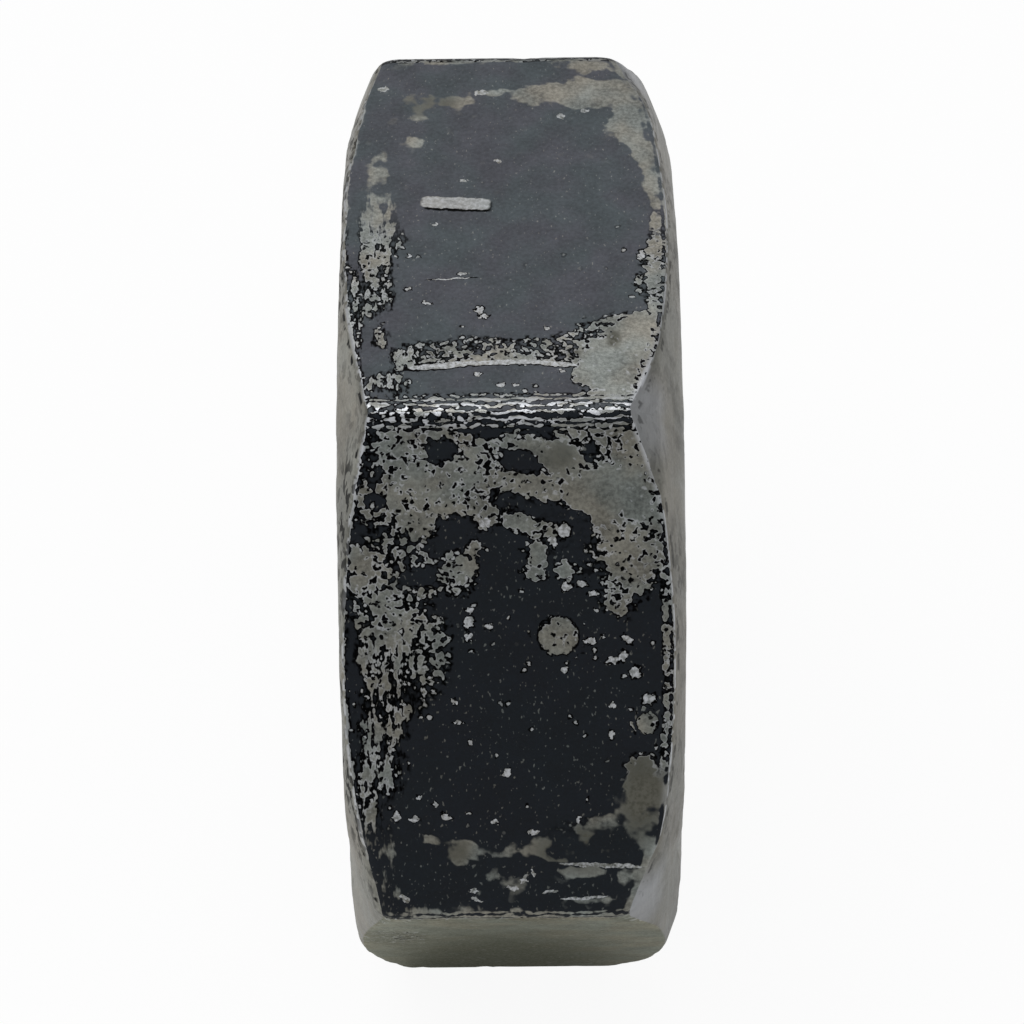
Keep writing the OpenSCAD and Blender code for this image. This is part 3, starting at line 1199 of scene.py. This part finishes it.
def turned_material(groups, colours, face_radius):
    """Turned steel of the chamfers and end faces: tool rings, stains, and oxide left at the rim."""
    material, tree = new_material("turned")
    spot = use_group(tree, groups["layout"])
    point = spot["Point"]
    rim = spot["Rim"]
    outer_side = spot["Across"].between(1.0, -1.0)
    off_foot = 1 - spot["Side"].do("COMPARE", FOOT_SIDE, 0.1)
    corner = spot["Corner Edge"].between(2.4, 0.8) * rim.between(2.0, 0.8)
    grain = use_group(tree, groups["grain"], {"Place": point})
    wander = noise(tree, point, 0.25, 2.0)
    ring_place = vector_of(tree, spot["Radius"] * 7.0, wander * 3.0, 0.0)
    rings = noise(tree, ring_place, 1.0, 2.0, 0.6).between(0.25, 0.75)
    clouds = noise(tree, point, 0.4, 4.0, 0.6).between(0.3, 0.7)
    tone = clouds * 0.45 + grain["Grit"] * 0.2 + rings * 0.35
    steel = colours.turned_steel
    colour = mix_colour(tree, tone, scaled_colour(steel, 0.6), scaled_colour(steel, 1.6))
    colour = tinted(tree, grain["Tint"] * 0.5, colour)
    # The bearing side is darker on its chamfer, rubbed clean on its face and bright on its broken corners
    bearing_side = 1 - outer_side
    face = spot["Radius"].between(face_radius + 0.05, face_radius - 0.2)
    colour = mix_colour(tree, bearing_side * (1 - face) * 0.5, colour, scaled_colour(steel, 0.7))
    colour = mix_colour(tree, bearing_side * face * 0.16, colour, tuple(colours.polished_steel_and_highlight))
    broken = scaled_colour(colours.polished_steel_and_highlight, 0.56)
    colour = mix_colour(tree, corner * bearing_side * (clouds * 0.3 + 0.55), colour, broken)
    # Oxide stays in a broken line just inside the edge of the flats, beside a bright rim that is a painted
    # highlight
    break_up = noise(tree, point, 1.9, 2.0, 0.6)
    bright = rim.between(outer_side * 0.07 + 0.1, 0.04) * break_up.between(0.41, 0.52) * off_foot
    colour = mix_colour(tree, bright * 0.75, colour, tuple(colours.polished_steel_and_highlight))
    line = rim.between(0.14, 0.22) * rim.between(0.44, 0.32) * break_up.between(0.5, 0.6) * off_foot
    line = line * (outer_side * 0.4 + 0.6)
    nick_place = vector_of(tree, rim * 3.4, spot["Along"] * 1.5, spot["Across"] * 1.4)
    nicks = noise(tree, nick_place, 1.0, 2.0, 0.6).between(0.53, 0.57) * rim.between(2.0, 0.8)
    nicks = nicks * off_foot * (1 - corner * 0.6) * (outer_side * 0.6 + 0.3)
    nicks = nicks * (1.1 - clouds).do("MINIMUM", 1)
    smears = noise(tree, point, 0.5, 4.0, 0.66).between(0.54, 0.72) * 0.32 * off_foot
    dirt = line.do("MAXIMUM", smears).do("MAXIMUM", nicks)
    colour = mix_colour(tree, dirt, colour, tuple(colours.rim))
    roughness = rings * 0.14 + grain["Fine"] * 0.1 + 0.3 + dirt * 0.3
    metallic = 0.95 - dirt * 0.9
    height = rings * 0.4 + grain["Fine"] * 0.3
    steel_shader(tree, colour, roughness, metallic, height, 0.01)
    return material


def thread_material(groups, colours, nominal):
    """Thread steel: bright on the crests and dark with old oil in the roots."""
    material, tree = new_material("thread")
    spot = use_group(tree, groups["layout"])
    point = spot["Point"]
    grain = use_group(tree, groups["grain"], {"Place": point})
    bore = BORE_RADIUS / MM
    depth = (spot["Radius"] - bore) / (nominal / MM - bore)
    # Past the nominal radius lie the countersinks, which are turned steel
    threaded = depth.between(1.25, 1.05)
    tone = grain["Mottle"] * 0.5 + grain["Fine"] * 0.5
    dark = scaled_colour(colours.thread_steel, 0.6)
    steel = mix_colour(tree, tone, dark, scaled_colour(colours.thread_steel, 1.5))
    steel = mix_colour(tree, depth.between(0.12, 0.02) * 0.4, steel, tuple(colours.polished_steel_and_highlight))
    grime = depth.between(0.35, 0.9) * threaded * (grain["Mottle"] * 0.4 + 0.55)
    colour = mix_colour(tree, grime, steel, tuple(colours.plain_oxide))
    roughness = grime * 0.3 + 0.32
    metallic = 0.95 - grime * 0.7
    steel_shader(tree, colour, roughness, metallic, grain["Fine"] * 0.5, 0.008)
    return material


def finish_materials(context):
    """Every finish of the nut, by name."""
    sizes = context.scene.nut_sizes
    colours = context.scene.nut_finish
    groups = {"layout": layout_group(sizes), "oxide": oxide_group(), "grain": grain_group()}
    nominal = BORE_RADIUS + sizes.thread_pitch * TOOTH_SHARE
    looks = {
        # The top flat's oxide carries painted sheen, and the front flat's oxide painted shade
        "top_flat": Look(
            colours.top_oxide_painted_sheen, colours.top_steel, colours.stain, LOWER_END, 0.12,
            chips=TOP_CHIPS, scratches=TOP_SCRATCHES, smoky=TOP_SMOKY, dash=True,
        ),
        "front_flat": Look(
            colours.front_oxide_painted_shade, colours.bare_steel, colours.stain, UPPER_END, 0.5,
            chips=FRONT_CHIPS, scratches=FRONT_SCRATCHES, spots=FRONT_SPOTS, smoky=FRONT_SMOKY,
        ),
        # The foot flat's stain colour paints shade towards its foot
        "foot_flat": Look(
            colours.plain_oxide, colours.turned_steel, colours.grime, NO_END, glance=colours.foot_glance
        ),
        "plain_flat": Look(colours.plain_oxide, colours.bare_steel, colours.stain, BOTH_ENDS),
    }
    materials = {name: flat_material(name, groups, colours, look) for name, look in looks.items()}
    face_radius = (FLAT_RADIUS - sizes.bearing_inset) / MM
    materials["turned"] = turned_material(groups, colours, face_radius)
    materials["thread"] = thread_material(groups, colours, nominal)
    return materials


class NUT_OT_make_nut(bpy.types.Operator):
    """Makes the nut with its thread and finish, in place of the CAD solid"""

    bl_idname = "nut.make_nut"
    bl_label = "Make Nut"

    def execute(self, context):
        materials = finish_materials(context)
        tree, values = nut_tree()
        mesh = plain_mesh(tree, {**values, **materials}, "worn_nut")
        closed_outwards(mesh)
        nut = bpy.data.objects.new("worn_nut", mesh)
        context.scene.collection.objects.link(nut)
        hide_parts(NODE)
        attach(nut, BODY)
        return {"FINISHED"}


# Stage

def floor_material(colour):
    """A pale floor that glows to the camera and a little in reflections, and still takes a faint shadow."""
    material, tree = new_material("pale_floor")
    path = add_node(tree, "ShaderNodeLightPath")
    seen = Term(tree, path.outputs["Is Camera Ray"]) * FLOOR_SEEN
    for name in ("Is Glossy Ray", "Is Transmission Ray"):
        seen = seen.do("MAXIMUM", Term(tree, path.outputs[name]) * FLOOR_MIRRORED)
    matte = add_node(tree, "ShaderNodeBsdfDiffuse", {"Color": tuple(colour)})
    glow = add_node(tree, "ShaderNodeEmission", {"Color": (1, 1, 1, 1), "Strength": 1.0})
    mix = add_node(tree, "ShaderNodeMixShader", {0: seen})
    tree.links.new(matte.outputs[0], mix.inputs[1])
    tree.links.new(glow.outputs[0], mix.inputs[2])
    out = add_node(tree, "ShaderNodeOutputMaterial")
    tree.links.new(mix.outputs[0], out.inputs["Surface"])
    return material


def lay_floor(radius, colour):
    """A round floor just under the flat that the nut stands on."""
    mesh = bpy.data.meshes.new("floor")
    work = bmesh.new()
    bmesh.ops.create_circle(work, cap_ends=True, segments=64, radius=radius)
    work.to_mesh(mesh)
    work.free()
    floor = bpy.data.objects.new("floor", mesh)
    floor.location.z = -FLOOR_DROP
    mesh.materials.append(floor_material(colour))
    bpy.context.scene.collection.objects.link(floor)


def hang_lamp():
    """One square soft lamp that points at the nut from above."""
    data = bpy.data.lights.new("overhead_lamp", "AREA")
    data.shape = "SQUARE"
    data.size = LAMP_SIZE
    data.energy = LAMP_POWER
    lamp = bpy.data.objects.new("overhead_lamp", data)
    lamp.location = LAMP_PLACE
    towards = Vector((0, 0, AXIS_HEIGHT)) - lamp.location
    lamp.rotation_euler = towards.to_track_quat("-Z", "Y").to_euler()
    bpy.context.scene.collection.objects.link(lamp)


def place_camera(stage):
    """A camera at the photograph's viewing angle."""
    tilt = stage.camera_elevation
    along = Vector((1, 0, 0))
    up = Vector((0, math.sin(tilt), math.cos(tilt)))
    towards = Vector((0, -math.cos(tilt), math.sin(tilt)))
    level = along * math.cos(stage.camera_yaw) - towards * math.sin(stage.camera_yaw)
    back = along * math.sin(stage.camera_yaw) + towards * math.cos(stage.camera_yaw)
    right = level * math.cos(stage.camera_roll) - up * math.sin(stage.camera_roll)
    upward = level * math.sin(stage.camera_roll) + up * math.cos(stage.camera_roll)
    middle = Vector((0, 0, AXIS_HEIGHT))
    eye = middle + right * stage.aim_right + upward * stage.aim_up + back * stage.camera_distance
    data = bpy.data.cameras.new("camera")
    data.lens = stage.camera_lens
    data.sensor_width = 36
    data.clip_start = 0.01
    data.clip_end = 10
    camera = bpy.data.objects.new("camera", data)
    turn = Matrix((right, upward, back)).transposed()
    camera.matrix_world = Matrix.Translation(eye) @ turn.to_4x4()
    bpy.context.scene.collection.objects.link(camera)
    bpy.context.scene.camera = camera


class NUT_OT_set_stage(bpy.types.Operator):
    """Lays the floor, hangs the lamp and places the camera"""

    bl_idname = "nut.set_stage"
    bl_label = "Set Stage"

    def execute(self, context):
        stage = context.scene.nut_stage
        lay_floor(stage.floor_radius, stage.floor_colour)
        world = bpy.data.worlds.new("room")
        world.use_nodes = True
        world.node_tree.nodes["Background"].inputs["Color"].default_value = stage.world_colour
        context.scene.world = world
        hang_lamp()
        place_camera(stage)
        context.scene.view_settings.view_transform = "Standard"
        return {"FINISHED"}


class NUT_PT_maker(bpy.types.Panel):
    """Lists the steps and sizes in the sidebar"""

    bl_label = "Crankshaft Nut"
    bl_space_type = "VIEW_3D"
    bl_region_type = "UI"
    bl_category = "Nut"

    def draw(self, context):
        for maker in MAKERS:
            self.layout.operator(maker.bl_idname)
        for group in (context.scene.nut_sizes, context.scene.nut_finish, context.scene.nut_stage):
            box = self.layout.box()
            for name in group.__annotations__:
                box.prop(group, name)


GROUPS = {"nut_sizes": NutSizes, "nut_finish": NutFinish, "nut_stage": NutStage}
MAKERS = (NUT_OT_make_nut, NUT_OT_set_stage)
CLASSES = (*GROUPS.values(), *MAKERS, NUT_PT_maker)


def register():
    for item in CLASSES:
        bpy.utils.register_class(item)
    for name, group in GROUPS.items():
        setattr(bpy.types.Scene, name, bpy.props.PointerProperty(type=group))


def unregister():
    for name in GROUPS:
        delattr(bpy.types.Scene, name)
    for item in reversed(CLASSES):
        bpy.utils.unregister_class(item)


def main():
    register()
    bpy.ops.nut.make_nut()
    bpy.ops.nut.set_stage()


if __name__ == "__main__":
    main()
